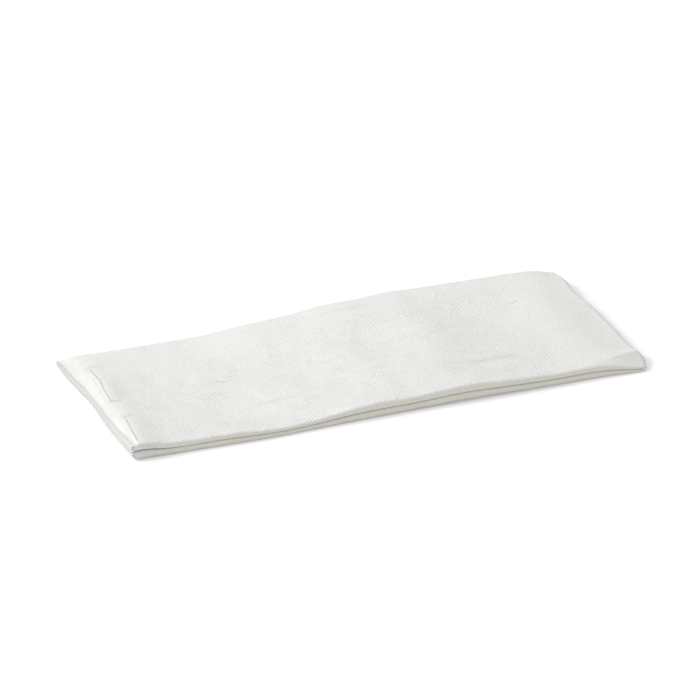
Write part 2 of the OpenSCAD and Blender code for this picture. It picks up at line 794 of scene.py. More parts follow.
@dataclass(frozen=True)
class Flattened:
    """Where pressing and handling have left the emboss flat.

    Attributes:
        size: The napkin's outer sizes.
        edge: The pads along its open end.
        off_pads: Distances past the pads at which the dots are full and at which they are gone.
        pad_side: Half width of the step at a pad's inner side.
        bend: The softly bent end at the last fold, along the napkin.
        bend_share: Share of the dots that is gone there.
        back_band: Distances from the back at which the plain band begins and is complete.
        band_share: Share of the dots that is gone in it.
        worn_across: The worn part at the back left, across the napkin.
        worn_along: The same along it.
    """

    size: FoldedSize
    edge: PressedEdge
    off_pads: tuple[float, float] = (3.0, 1.0)
    pad_side: float = 0.6
    bend: Step = Step(1.0, 62, 104)
    bend_share: float = 0.68
    back_band: tuple[float, float] = (11.0, 5.0)
    band_share: float = 0.75
    worn_across: Step = Step(0.65, 8, 36)
    worn_along: Step = Step(1.0, 20, -50)

    def plain(self, x: np.ndarray, y: np.ndarray, inside: np.ndarray) -> np.ndarray:
        """Works out how flat the emboss is.

        Args:
            x: Places along the napkin.
            y: Places across it.
            inside: Distances from the sheet's end, plus what the pads are narrower there.

        Returns:
            0 where the dots are full, 1 where they are gone.
        """
        width, back = self.edge.width, self.size.back
        beside_pads = eased(width + self.off_pads[0], width + self.off_pads[1], inside)
        band = self.band_share * eased(back - self.back_band[0], back - self.back_band[1], y)
        plain = np.maximum(beside_pads, self.bend_share * self.bend.at(x))
        plain = np.maximum(plain, band)
        return np.maximum(plain, self.worn_across.at(y) * self.worn_along.at(x))

    def pressed(self, y: np.ndarray, inside: np.ndarray) -> np.ndarray:
        """Works out where the pads are.

        Args:
            y: Places across the napkin.
            inside: Distances from the sheet's end, plus what the pads are narrower there.

        Returns:
            1 inside a pad, 0 elsewhere.
        """
        width = self.edge.width
        return self.edge.along(y) * eased(width + self.pad_side, width - self.pad_side, inside)


@dataclass
class Lines:
    """The mesh lines along one way of the sheet.

    Attributes:
        coarse: Indexes of the lines that the plain parts of the mesh use.
        fine_from: First line of the stretch that uses every line.
        fine_to: Last line of that stretch.
    """

    coarse: list[int] = field(default_factory=list)
    fine_from: int = 0
    fine_to: int = 0


@dataclass(frozen=True)
class Section:
    """The sheet's path in a cut across the napkin, above its middle plane.

    Attributes:
        y: Each mesh line's place across the napkin.
        h: Its height above the middle plane.
        out_y: How far its outward normal points to the back.
        out_h: How far it points away from the middle plane.
        travel: Its distance along the sheet from the start of the outer panel.
    """

    y: np.ndarray
    h: np.ndarray
    out_y: np.ndarray
    out_h: np.ndarray
    travel: np.ndarray


@dataclass(frozen=True)
class Way:
    """The sheet's way along the napkin, over the top, round the last fold and back.

    Attributes:
        share: Each mesh line's share of the way from the open end to the last fold.
        angle: Its angle round that fold.
        travel: Its distance along the sheet from the upper open end.
    """

    share: np.ndarray
    angle: np.ndarray
    travel: np.ndarray


@dataclass(frozen=True)
class FoldedSheet:
    """One sheet of two-ply tissue, folded in half, in half again, and then across.

    Attributes:
        size: The folded napkin's outer sizes.
        edge: The pads along its open end.
        lie: How its soft tissue settles.
        flattened: Where its emboss is flat.
        setback: How far the inner fold at the front stays short of the outer one.
        end_slant: How far the innermost layers stand out at the open end.
        ragged: How unevenly the layers end there, along the cut.
        dot_cells: Mesh cells in one repeat of the emboss.
        panel_cells: Fine cells across the outer panel.
        panel_step: Fine cells in one coarse cell across it.
        hidden_cells: Cells across a panel that can't be seen.
        outer_arc: Cells round the outer fold at the front.
        tight_arc: Cells round the other folds.
        upper_cells: Fine cells along the outer panel.
        body_step: Fine cells in one coarse cell along it.
        end_step: Fine cells in one coarse cell near the open end.
        end_cells: How many of these smaller coarse cells there are.
        last_arc: Cells round the last fold.
        sharp: Least angle, in degrees, between two faces that meet in a sharp edge.
        dots_fade: Fine cells over which the dots fade out at the panel's edges.
        panel_fade: Fine cells over which the panel goes over into its folds.
        mouth: Distances from the open end at which the painted bounce light between layers begins and is
            full.
        bend_bounce_light: How much painted warm bounce light the bent end at the last fold shows.
        cut_shade_reach: How far from a cut edge its painted shade reaches.
        crease_shade_rate: How fast a crease takes on its painted shade, as a share for each millimetre of
            depth.
    """

    size: FoldedSize
    edge: PressedEdge
    lie: SoftLie
    flattened: Flattened
    setback: float = 1.0
    end_slant: float = 1.0
    ragged: Profile = Profile(0.0, (Wave(0.16, 9.0, 0.7), Wave(0.10, 3.1)))
    dot_cells: int = 4
    panel_cells: int = 180
    panel_step: int = 9
    hidden_cells: int = 20
    outer_arc: int = 10
    tight_arc: int = 8
    upper_cells: int = 360
    body_step: int = 10
    end_step: int = 2
    end_cells: int = 8
    last_arc: int = 12
    sharp: float = 50.0
    dots_fade: float = 7.0
    panel_fade: float = 3.0
    mouth: tuple[float, float] = (3.0, 16.0)
    bend_bounce_light: float = 0.30
    cut_shade_reach: float = 0.6
    crease_shade_rate: float = 4.0

    @property
    def fold_x(self) -> float:
        """Centre line of the last fold."""
        return self.size.right - self.size.half

    @property
    def front_y(self) -> float:
        """Centre line of the outer fold at the front."""
        return self.size.front + 1.5 * self.size.pitch + self.size.layer / 2

    @property
    def back_y(self) -> float:
        """Centre line of the fold at the back."""
        return self.size.back - 0.5 * self.size.pitch - self.size.layer / 2

    @property
    def cell(self) -> float:
        """Length of a fine cell along the outer panel."""
        return (self.fold_x - self.size.left) / self.upper_cells

    @property
    def dots_along(self) -> float:
        """Repeat of the emboss along the napkin."""
        return self.dot_cells * self.cell

    @property
    def dots_across(self) -> float:
        """Repeat of the emboss across the napkin."""
        return self.dot_cells * (self.back_y - self.front_y) / self.panel_cells

    def flat_size(self) -> tuple[float, float]:
        """Width and length of the sheet when it is opened out."""
        return 4.0 * self.size.width, 2.0 * self.size.length

    def across(self) -> tuple[Section, Lines]:
        """Lays the mesh lines that run along the napkin.

        Returns:
            The section that they make, and which of them are used where.
        """
        p = self.size.pitch
        inner_y = self.front_y + self.setback
        free_y = self.back_y + math.pi * p / 4
        rows: list[tuple[float, float, float, float, float]] = []
        lines = Lines()
        travel = 0.0

        def straight(y0: float, y1: float, h: float, cells: int, step: int) -> None:
            """Adds a flat stretch, without its last point.

            Args:
                y0: Where it begins.
                y1: Where it ends.
                h: Its height above the middle plane.
                cells: How many cells it has.
                step: How many of them are one coarse cell.
            """
            nonlocal travel
            out = 1.0 if y1 > y0 else -1.0
            for i in range(cells):
                if i % step == 0:
                    lines.coarse.append(len(rows))
                t = i / cells
                rows.append((y0 + (y1 - y0) * t, h, 0.0, out, travel + abs(y1 - y0) * t))
            travel += abs(y1 - y0)

        def bend(cy: float, ch: float, r: float, a0: float, a1: float, cells: int) -> None:
            """Adds a half round stretch, without its last point.

            Args:
                cy: Its centre's place across the napkin.
                ch: Its centre's height above the middle plane.
                r: Its radius.
                a0: Angle at which it begins, in degrees.
                a1: Angle at which it ends.
                cells: How many cells it has.
            """
            nonlocal travel
            out = 1.0 if a1 < a0 else -1.0
            for i in range(cells):
                lines.coarse.append(len(rows))
                a = math.radians(a0 + (a1 - a0) * i / cells)
                c, s = math.cos(a), math.sin(a)
                rows.append((cy + r * c, ch + r * s, out * c, out * s, travel + math.pi * r * i / cells))
            travel += math.pi * r

        for run in Run:
            if run is Run.INNER_LINING:
                straight(free_y, self.front_y, 0.5 * p, self.hidden_cells, 1)
            elif run is Run.FRONT_FOLD:
                lines.fine_from = len(rows)
                bend(self.front_y, 2 * p, 1.5 * p, 270, 90, self.outer_arc)
            elif run is Run.OUTER_PANEL:
                start = travel
                straight(self.front_y, self.back_y, 3.5 * p, self.panel_cells, self.panel_step)
            elif run is Run.BACK_FOLD:
                bend(self.back_y, 3 * p, 0.5 * p, 90, -90, self.tight_arc)
                lines.fine_to = len(rows)
            elif run is Run.SECOND_PANEL:
                straight(self.back_y, inner_y, 2.5 * p, self.hidden_cells, 1)
            elif run is Run.INNER_FOLD:
                bend(inner_y, 2 * p, 0.5 * p, 90, 270, self.tight_arc)
            elif run is Run.THIRD_PANEL:
                straight(inner_y, free_y, 1.5 * p, self.hidden_cells, 1)
        lines.coarse.append(len(rows))
        rows.append((free_y, 1.5 * p, 0.0, 1.0, travel))
        table = np.array(rows)
        table[:, -1] -= start
        return Section(*table.T), lines

    def lengthwise(self) -> tuple[Way, Lines]:
        """Lays the mesh lines that run across the napkin.

        Returns:
            The way that they follow, and which of them are used where.
        """
        n, reach = self.upper_cells, self.fold_x - self.size.left
        near = self.end_step * self.end_cells
        marks = [*range(0, near, self.end_step), *range(near, n, self.body_step)]
        rows = [(j / n, 0.0, j * self.cell) for j in range(n)]
        lines = Lines(coarse=list(marks))
        turn = math.pi * 2 * self.size.pitch
        for k in range(self.last_arc):
            lines.coarse.append(len(rows))
            share = k / self.last_arc
            rows.append((1.0, math.pi * share, reach + turn * share))
        lines.fine_to = len(rows)
        for j in [n, *reversed(marks)]:
            lines.coarse.append(len(rows))
            rows.append((j / n, math.pi, 2 * reach + turn - j * self.cell))
        return Way(*np.array(rows).T), lines

    def points(self, path: Section, way: Way, side: float) -> np.ndarray:
        """Places the mesh points of one face of the sheet.

        Args:
            path: The sheet's section.
            way: Its way along the napkin.
            side: 1 for the face that shows on the outer panel, -1 for the other.

        Returns:
            Points in metres, indexed by line across and line along.
        """
        size = self.size
        y = (path.y + side * size.layer / 2 * path.out_y)[:, None]
        h = (path.h + side * size.layer / 2 * path.out_h)[:, None]
        depth = (path.h - 0.5 * size.pitch) / (3 * size.pitch)
        start = (size.left + self.end_slant * depth + self.ragged.at(path.travel))[:, None]
        share, angle = way.share[None, :], way.angle[None, :]
        x = start + (self.fold_x - start) * share + h * np.sin(angle)
        z = h * np.cos(angle)
        x, y, z = (np.broadcast_to(v, x.shape) for v in (x, y, z))
        return np.stack(self.lie.settle(x, y, z), axis=-1) * MM

    def faces(self, a: Lines, b: Lines, shape: tuple[int, int]) -> list[list[int]]:
        """Joins the points in a closed shell: fine on the outer panel and its folds, else coarse.

        Args:
            a: Lines across the sheet.
            b: Lines along it.
            shape: How many lines there are across and along.

        Returns:
            Faces as lists of point indexes, with the second face's points after the first's.
        """
        rows, cols = shape
        other = rows * cols

        def at(i: int, j: int) -> int:
            """Index of a point on the outward face."""
            return i * cols + j

        def fine(i: int, j: int) -> bool:
            """Whether the cell that starts at these lines is in the fine part."""
            return a.fine_from <= i < a.fine_to and b.fine_from <= j < b.fine_to

        made = [
            [at(i, j), at(i, j + 1), at(i + 1, j + 1), at(i + 1, j)]
            for i in range(a.fine_from, a.fine_to)
            for j in range(b.fine_from, b.fine_to)
        ]
        for i0, i1 in zip(a.coarse, a.coarse[1:]):
            for j0, j1 in zip(b.coarse, b.coarse[1:]):
                made.append([other + k for k in (at(i0, j0), at(i1, j0), at(i1, j1), at(i0, j1))])
                if fine(i0, j0):
                    continue
                ring = [at(i0, j) for j in range(j0, j1 if fine(i0 - 1, j0) else j0 + 1)]
                ring += [at(i0, j1)]
                ring += [at(i1, j) for j in (range(j1, j0, -1) if fine(i1, j0) else (j1,))]
                ring += [at(i, j0) for i in (range(i1, i0, -1) if fine(i0, j0 - 1) else (i1,))]
                made.append(ring)
        last_i, last_j = rows - 1, cols - 1
        for j0, j1 in zip(b.coarse, b.coarse[1:]):
            made.append([at(0, j1), at(0, j0), other + at(0, j0), other + at(0, j1)])
            made.append([at(last_i, j0), at(last_i, j1), other + at(last_i, j1), other + at(last_i, j0)])
        for i0, i1 in zip(a.coarse, a.coarse[1:]):
            between = range(i0, i1 + 1) if fine(i0, 0) else (i0, i1)
            made.append([at(i, 0) for i in between] + [other + at(i1, 0), other + at(i0, 0)])
            made.append([at(i1, last_j), at(i0, last_j), other + at(i0, last_j), other + at(i1, last_j)])
        return made

    def masks(
        self, path: Section, way: Way, a: Lines, b: Lines
    ) -> dict[Mask, tuple[np.ndarray, np.ndarray]]:
        """Works out the masks for the emboss, the finish, the painted shade and the painted bounce light, on
        the grid of mesh lines.

        Args:
            path: The sheet's section.
            way: Its way along the napkin.
            a: Lines across the sheet.
            b: Lines along it.

        Returns:
            Each mask's values on the outward face and on the other.
        """
        blank = np.zeros((len(path.y), len(way.share)))
        x = self.size.left + (self.fold_x - self.size.left) * way.share[None, :] + blank
        y = path.y[:, None] + blank
        ends = np.minimum(way.travel, way.travel[-1] - way.travel)[None, :] + blank
        inside = ends + self.edge.lean(y)
        plain = self.flattened.plain(x, y, inside)
        pressed = self.flattened.pressed(y, inside)

        i, j = np.arange(blank.shape[0])[:, None], np.arange(blank.shape[1])[None, :]
        panel_from, panel_to = a.fine_from + self.outer_arc, a.fine_to - self.tight_arc
        off_folds = np.minimum(i - panel_from, panel_to - i)
        off_ends = np.minimum(j - b.fine_from, self.upper_cells - j)
        raised = eased(0.0, self.dots_fade, off_folds) * eased(0.0, self.dots_fade, off_ends)
        panel = eased(0.0, self.panel_fade, off_folds) + blank

        between = eased(*self.mouth, ends)
        facing_in = 1.0 - np.clip(path.out_h, 0.0, 1.0)[:, None]
        # Painted warm bounce light: in the folds, inside near the open end and on the bent end at the last
        # fold.
        bounce_light = np.maximum((1.0 - panel) * facing_in * between, self.bend_bounce_light * self.flattened.bend.at(x))
        # Painted shade in the grooved creases of the outer panel.
        grooves = [crease for crease in self.lie.every_crease() if crease.height < 0]
        crease_shade = sum(np.clip(-self.crease_shade_rate * groove.at(x, y), 0, 1) for groove in grooves)
        crease_shade = crease_shade * panel * (way.angle[None, :] == 0)
        # Painted shade along the cut edges, between the layers at the open end.
        cut = eased(self.cut_shade_reach, 0.0, ends)
        return {
            Mask.EMBOSS: (raised * (1 - plain), blank),
            Mask.PLAIN: (plain, plain),
            Mask.PRESSED: (pressed, pressed),
            Mask.PAD_RUN: (self.edge.on_panel(y), blank),
            Mask.FROM_END: (inside * MM, inside * MM),
            Mask.BOUNCE_LIGHT: (bounce_light, between),
            Mask.CREASE_SHADE: (crease_shade, blank),
            Mask.CUT: (cut, cut),
        }

    def build(self, name: str) -> bpy.types.Object:
        """Makes the smooth folded sheet, with the attributes that its emboss and finish read.

        Args:
            name: Name of the piece.

        Returns:
            The object, at the origin.
        """
        path, a = self.across()
        way, b = self.lengthwise()
        grids = [self.points(path, way, side) for side in (1.0, -1.0)]
        every = np.concatenate([grid.reshape(-1, 3) for grid in grids])
        faces = self.faces(a, b, grids[0].shape[:2])
        used, flat = np.unique(np.concatenate([np.array(face) for face in faces]), return_inverse=True)
        starts = np.cumsum([0] + [len(face) for face in faces])
        renumbered = [flat[s:e].tolist() for s, e in zip(starts, starts[1:])]
        mesh = bpy.data.meshes.new(name)
        mesh.from_pydata(every[used].tolist(), [], renumbered)
        mesh.validate()
        for mask, sides in self.masks(path, way, a, b).items():
            values = np.concatenate([side.reshape(-1) for side in sides])[used]
            store = mesh.attributes.new(mask.value, "FLOAT", "POINT")
            store.data.foreach_set("value", values.astype(np.float32))
        u, v = np.meshgrid(path.travel, way.travel, indexing="ij")
        place = np.stack([u, v, np.zeros(u.shape)], axis=-1).reshape(-1, 3) * MM
        place = np.concatenate([place, place])[used]
        store = mesh.attributes.new(PLACE, "FLOAT_VECTOR", "POINT")
        store.data.foreach_set("vector", place.astype(np.float32).reshape(-1))
        mesh.shade_smooth()
        mesh.set_sharp_from_angle(angle=math.radians(self.sharp))
        piece = bpy.data.objects.new(name, mesh)
        bpy.context.collection.objects.link(piece)
        return piece


class Socket:
    """A node output that Python operators act on, by adding Math nodes to its tree."""

    def __init__(self, book: "NodeBook", output: bpy.types.NodeSocket | None) -> None:
        """Keeps the tree's book and the output."""
        self.book = book
        self.output = output

    def _maths(self, operation: str, *values: Any) -> "Socket":
        """Adds a Math node and returns its result."""
        return self.book.add("ShaderNodeMath", {"operation": operation}, dict(enumerate(values)))

    def __add__(self, other: Any) -> "Socket":
        """The sum."""
        return self._maths("ADD", self, other)

    def __radd__(self, other: Any) -> "Socket":
        """The sum, with a number first."""
        return self._maths("ADD", other, self)

    def __sub__(self, other: Any) -> "Socket":
        """The difference."""
        return self._maths("SUBTRACT", self, other)

    def __rsub__(self, other: Any) -> "Socket":
        """The difference from a number."""
        return self._maths("SUBTRACT", other, self)

    def __mul__(self, other: Any) -> "Socket":
        """The product."""
        return self._maths("MULTIPLY", self, other)

    def __rmul__(self, other: Any) -> "Socket":
        """The product, with a number first."""
        return self._maths("MULTIPLY", other, self)

    def __truediv__(self, other: Any) -> "Socket":
        """The quotient."""
        return self._maths("DIVIDE", self, other)

    def cosine(self) -> "Socket":
        """The cosine of an angle in radians."""
        return self._maths("COSINE", self)

    def absolute(self) -> "Socket":
        """The value without its sign."""
        return self._maths("ABSOLUTE", self)

    def at_least(self, least: Any) -> "Socket":
        """The value, or least where that is more."""
        return self._maths("MAXIMUM", self, least)


class NodeBook:
    """Adds nodes to one tree, each with its settings and its inputs in one call."""

    def __init__(self, tree: bpy.types.NodeTree) -> None:
        """Keeps the tree."""
        self.tree = tree

    def add(
        self, kind: str, settings: dict[str, Any], inputs: dict[int | str, Any], output: int | str = 0
    ) -> Socket:
        """Adds a node.

        Args:
            kind: The node's type.
            settings: Its properties, set before its inputs.
            inputs: Values or sockets by input name or number.
            output: Name or number of the output to return.

        Returns:
            That output.
        """
        node = self.tree.nodes.new(kind)
        for key, value in settings.items():
            setattr(node, key, value)
        for key, value in inputs.items():
            if isinstance(value, Socket):
                self.tree.links.new(value.output, node.inputs[key])
            else:
                node.inputs[key].default_value = value
        return Socket(self, node.outputs[output] if len(node.outputs) else None)

    def split(self, place: Socket) -> tuple[Socket, Socket]:
        """Splits a place on the flat sheet.

        Args:
            place: The place as a vector.

        Returns:
            The distance across the napkin and the distance along it.
        """
        parts = self.tree.nodes.new("ShaderNodeSeparateXYZ")
        self.tree.links.new(place.output, parts.inputs[0])
        return Socket(self, parts.outputs[0]), Socket(self, parts.outputs[1])


def empty_material(name: str) -> tuple[bpy.types.Material, NodeBook]:
    """Makes a material with no nodes yet.

    Args:
        name: Its name.

    Returns:
        The material, and the book that adds its nodes.
    """
    made = bpy.data.materials.new(name)
    made.use_nodes = True
    made.node_tree.nodes.clear()
    return made, NodeBook(made.node_tree)


def lattice(across: Socket, along: Socket) -> Socket:
    """The emboss's wave: two sets of diagonal ridges that meet in dots.

    Args:
        across: The angle of the wave across the napkin.
        along: The angle of the wave along it.

    Returns:
        1 on a dot's top, and -1 in the middle of the space between four dots.
    """
    rising, falling = 0.6, 0.4
    return (across + along).cosine() * rising + (across - along).cosine() * falling


@dataclass(frozen=True)
class DotEmboss:
    """The fine dots pressed into the whole tissue, raised on the outer panel's mesh.

    Attributes:
        across: Repeat of the dots across the napkin, in millimetres.
        along: Repeat of the dots along it.
        depth: Height of a dot above the mean surface.
    """

    across: float
    along: float
    depth: float = 0.045

    def tree(self) -> bpy.types.NodeTree:
        """Makes the node tree that moves the surface along its normal and sets its material.

        Returns:
            The tree, with inputs for the sizes and the material.
        """
        made = bpy.data.node_groups.new("dot_emboss", "GeometryNodeTree")
        asked = {
            "Geometry": "Geometry",
            "Pitch across": "Float",
            "Pitch along": "Float",
            "Dot depth": "Float",
            "Tissue": "Material",
        }
        for name, kind in asked.items():
            made.interface.new_socket(name, in_out="INPUT", socket_type=f"NodeSocket{kind}")
        made.interface.new_socket("Geometry", in_out="OUTPUT", socket_type="NodeSocketGeometry")
        book = NodeBook(made)
        given = made.nodes.new("NodeGroupInput")
        sheet, pitch_across, pitch_along, depth, tissue = (
            Socket(book, given.outputs[name]) for name in asked
        )
        place = book.add("GeometryNodeInputNamedAttribute", {"data_type": "FLOAT_VECTOR"}, {"Name": PLACE})
        mask = book.add(
            "GeometryNodeInputNamedAttribute", {"data_type": "FLOAT"}, {"Name": Mask.EMBOSS.value}
        )
        across, along = book.split(place)
        wave = lattice(across * math.tau / pitch_across, along * math.tau / pitch_along)
        normal = book.add("GeometryNodeInputNormal", {}, {})
        push = book.add(
            "ShaderNodeVectorMath",
            {"operation": "SCALE"},
            {"Vector": normal, "Scale": wave * depth * mask},
        )
        moved = book.add("GeometryNodeSetPosition", {}, {"Geometry": sheet, "Offset": push})
        whole = book.add("GeometryNodeRealizeInstances", {}, {"Geometry": moved})
        dressed = book.add("GeometryNodeSetMaterial", {}, {"Geometry": whole, "Material": tissue})
        book.add("NodeGroupOutput", {}, {"Geometry": dressed})
        return made

    def press(self, piece: bpy.types.Object, tissue: bpy.types.Material) -> None:
        """Gives the piece its dots and its material, as plain mesh.

        Args:
            piece: The smooth folded sheet.
            tissue: Its material.
        """
        tree = self.tree()
        modifier = piece.modifiers.new("dots", "NODES")
        modifier.node_group = tree
        wanted = {
            "Pitch across": self.across * MM,
            "Pitch along": self.along * MM,
            "Dot depth": self.depth * MM,
            "Tissue": tissue,
        }
        for item in tree.interface.items_tree:
            if item.in_out == "INPUT" and item.name in wanted:
                modifier[item.identifier] = wanted[item.name]
        graph = bpy.context.evaluated_depsgraph_get()
        pressed = bpy.data.meshes.new_from_object(
            piece.evaluated_get(graph), preserve_all_data_layers=True, depsgraph=graph
        )
        piece.modifiers.remove(modifier)
        smooth = piece.data
        piece.data = pressed
        pressed.name = smooth.name
        bpy.data.meshes.remove(smooth)


@dataclass(frozen=True)
class Grain:
    """One noise in the tissue.

    Attributes:
        scale: Its repeats in a metre.
        detail: How many finer noises are added to it.
        height: How far it moves the surface, in millimetres.
        roughness: How strong the finer noises are.
        distortion: How far it is drawn out of shape.
    """

    scale: float
    detail: float
    height: float = 0.0
    roughness: float = 0.62
    distortion: float = 0.4

    def share(self, book: NodeBook, place: Socket) -> Socket:
        """Adds the noise.

        Args:
            book: The material's nodes.
            place: Where it is taken.

        Returns:
            Values from 0 to 1.
        """
        inputs = {
            "Vector": place,
            "Scale": self.scale,
            "Detail": self.detail,
            "Roughness": self.roughness,
            "Distortion": self.distortion,
        }
        return book.add("ShaderNodeTexNoise", {}, inputs)

    def relief(self, book: NodeBook, place: Socket) -> Socket:
        """The noise as a height in metres, about a mean of zero."""
        return (self.share(book, place) - 0.5) * (self.height * MM)


@dataclass(frozen=True)
class TissueFinish:
    """Soft matt white tissue: fibres, a faint cloudiness and the fine pressed dots, with painted shade and
    painted bounce light.

    Attributes:
        across: Repeat of the emboss across the napkin, in millimetres.
        along: Repeat of the emboss along it.
        pad_width: Width of the pads along the open end.
        dot_depth: Height of a dot where the mesh is smooth.
        dot_edge: Height of a dot's crisp top where the mesh has its slopes.
        line_reach: Half width of the crease along a pad's inner side.
        line_depth: Depth of that crease.
        cloud: The clouds between the fibres.
        drift: The slow change of those clouds over the napkin.
        patch: The patches in which the emboss is stronger or weaker.
        crinkle: The soft crinkle of the tissue.
        fibre: Its fibres.
        crepe: Its fine creping, drawn out along the napkin.
        crepe_along: Repeats of the creping along the napkin, as a share of those across it.
        crepe_pressed: Share of the creping that is gone inside a pad.
        cloud_share: How much the clouds change the colour.
        drift_share: How much their slow change does.
        cloud_less: What is taken off both together.
        patch_gain: How much the emboss changes from patch to patch.
        patch_less: What is taken off it everywhere.
        patch_least: The weakest emboss.
        dimple_thin_and_shade_share: How much the dimples show their painted shade and greyer thin tissue.
        bounce_light_share: How much painted bounce light the folds and the inside show.
        pad_line_shade_share: How much painted shade the line along a pad shows.
        crease_shade_share: How much painted shade a crease shows.
        cut_shade_share: How much painted shade a cut edge shows.
        rough: Roughness of the tissue.
        pressed_less: How much smoother a pad is.
        specular: Level of its reflection.
        sheen: Weight of the sheen of its fibres.
        sheen_rough: Roughness of that sheen.
        colour: Colour of the tissue.
        clouded: Its colour in the thinner clouds between its fibres.
        dimple_thin_and_shade: Its colour away from the dot tops: painted shade in the hollows between the
            dots, with the greyer tissue that the emboss presses thin.
        painted_shade: Painted shade, grey, in the line along a pad, in the creases and at the cut edges.
        painted_bounce_light: Painted warm bounce light in the folds and inside, between the layers.
    """

    across: float
    along: float
    pad_width: float
    dot_depth: float = 0.16
    dot_edge: float = 0.145
    line_reach: float = 0.80
    line_depth: float = 0.22
    cloud: Grain = Grain(260.0, 5.0)
    drift: Grain = Grain(26.0, 2.0)
    patch: Grain = Grain(150.0, 2.0)
    crinkle: Grain = Grain(620.0, 2.0, 0.22)
    fibre: Grain = Grain(2600.0, 4.0, 0.11)
    crepe: Grain = Grain(3600.0, 3.0, 0.08)
    crepe_along: float = 0.3
    crepe_pressed: float = 0.6
    cloud_share: float = 0.6
    drift_share: float = 0.5
    cloud_less: float = 0.05
    patch_gain: float = 4.6
    patch_less: float = 1.3
    patch_least: float = 0.05
    dimple_thin_and_shade_share: float = 0.13
    bounce_light_share: float = 0.9
    pad_line_shade_share: float = 0.6
    crease_shade_share: float = 0.4
    cut_shade_share: float = 0.5
    rough: float = 0.92
    pressed_less: float = 0.12
    specular: float = 0.25
    sheen: float = 0.06
    sheen_rough: float = 0.6
    colour: tuple[float, float, float] = (0.868, 0.868, 0.850)
    clouded: tuple[float, float, float] = (0.822, 0.820, 0.798)
    dimple_thin_and_shade: tuple[float, float, float] = (0.775, 0.775, 0.752)
    painted_shade: tuple[float, float, float] = (0.52, 0.52, 0.50)
    painted_bounce_light: tuple[float, float, float] = (0.905, 0.878, 0.800)

    def blend(self, book: NodeBook, factor: Any, first: Any, second: Any) -> Socket:
        """Mixes two colours.

        Args:
            book: The material's nodes.
            factor: 0 for the first colour, 1 for the second.
            first: A socket, or red, green and blue.
            second: The same.

        Returns:
            The mixed colour.
        """
        ends = [c if isinstance(c, Socket) else (*c, 1.0) for c in (first, second)]
        return book.add(
            "ShaderNodeMix", {"data_type": "RGBA"}, {"Factor": factor, 6: ends[0], 7: ends[1]}, 2
        )

    def dots(self, book: NodeBook, sheet: Socket) -> Socket:
        """Draws the emboss over the flat sheet.

        Args:
            book: The material's nodes.
            sheet: The place on the flat sheet.

        Returns:
            1 on a round dot's top and 0 well away from it.
        """
        across, along = book.split(sheet)
        turn_across, turn_along = math.tau / (self.across * MM), math.tau / (self.along * MM)
        half = lattice(across * turn_across, along * turn_along) * 0.5 + 0.5
        return half * half * half * half

    def relief(
        self, book: NodeBook, place: Socket, sheet: Socket, stamped: Socket, line: Socket, pressed: Socket
    ) -> Socket:
        """Adds up the fine relief of the surface.

        Args:
            book: The material's nodes.
            place: The place on the piece.
            sheet: The place on the flat sheet.
            stamped: Height of the dots, in metres.
            line: 1 in the line along a pad's inner side.
            pressed: 1 inside a pad.

        Returns:
            Height of the surface in metres.
        """
        scale = (1.0, self.crepe_along, 1.0)
        stretched = book.add("ShaderNodeMapping", {}, {"Vector": sheet, "Scale": scale})
        return (
            stamped
            + self.crinkle.relief(book, place)
            + self.fibre.relief(book, place)
            + self.crepe.relief(book, stretched) * (1.0 - pressed * self.crepe_pressed)
            - line * (self.line_depth * MM)
        )

    def material(self) -> bpy.types.Material:
        """Makes the material.

        Returns:
            The tissue, which reads the sheet's masks and its place on the flat sheet.
        """
        made, book = empty_material("tissue")
        place = book.add("ShaderNodeTexCoord", {}, {}, "Object")
        sheet = book.add("ShaderNodeAttribute", {"attribute_name": PLACE}, {}, "Vector")
        masks = {
            mask: book.add("ShaderNodeAttribute", {"attribute_name": mask.value}, {}, "Fac")
            for mask in Mask
        }
        pressed = masks[Mask.PRESSED]
        away = (masks[Mask.FROM_END] - self.pad_width * MM).absolute() / (self.line_reach * MM)
        line = (1.0 - away).at_least(0.0) * masks[Mask.PAD_RUN]
        dots = self.dots(book, sheet)
        patchy = self.patch.share(book, place) * self.patch_gain - self.patch_less
        embossed = (1.0 - masks[Mask.PLAIN]) * patchy.at_least(self.patch_least)
        depth = self.dot_depth + masks[Mask.EMBOSS] * (self.dot_edge - self.dot_depth)
        height = self.relief(book, place, sheet, dots * embossed * depth * MM, line, pressed)
        bump = book.add(
            "ShaderNodeBump", {}, {"Strength": 1.0, "Distance": 1.0, "Height": height}, "Normal"
        )
        clouds = self.cloud.share(book, place) * self.cloud_share
        clouds = clouds + self.drift.share(book, place) * self.drift_share - self.cloud_less
        tone = self.blend(book, clouds, self.colour, self.clouded)
        # Painted shade in the hollows between the dots, over the greyer tissue that the emboss presses thin.
        tone = self.blend(book, (1.0 - dots) * embossed * self.dimple_thin_and_shade_share, tone, self.dimple_thin_and_shade)
        # Painted warm bounce light in the folds, between the layers and on the bent end at the last fold.
        tone = self.blend(book, masks[Mask.BOUNCE_LIGHT] * self.bounce_light_share, tone, self.painted_bounce_light)
        # Painted shade in the groove along a pad's inner side.
        tone = self.blend(book, line * self.pad_line_shade_share, tone, self.painted_shade)
        # Painted shade in the creases.
        tone = self.blend(book, masks[Mask.CREASE_SHADE] * self.crease_shade_share, tone, self.painted_shade)
        # Painted shade at the cut edges of the layers.
        tone = self.blend(book, masks[Mask.CUT] * self.cut_shade_share, tone, self.painted_shade)
        inputs = {
            "Base Color": tone,
            "Roughness": self.rough - pressed * self.pressed_less,
            "Specular IOR Level": self.specular,
            "Sheen Weight": self.sheen,
            "Sheen Roughness": self.sheen_rough,
            "Normal": bump,
        }
        shader = book.add("ShaderNodeBsdfPrincipled", {}, inputs)
        book.add("ShaderNodeOutputMaterial", {}, {"Surface": shader})
        return made


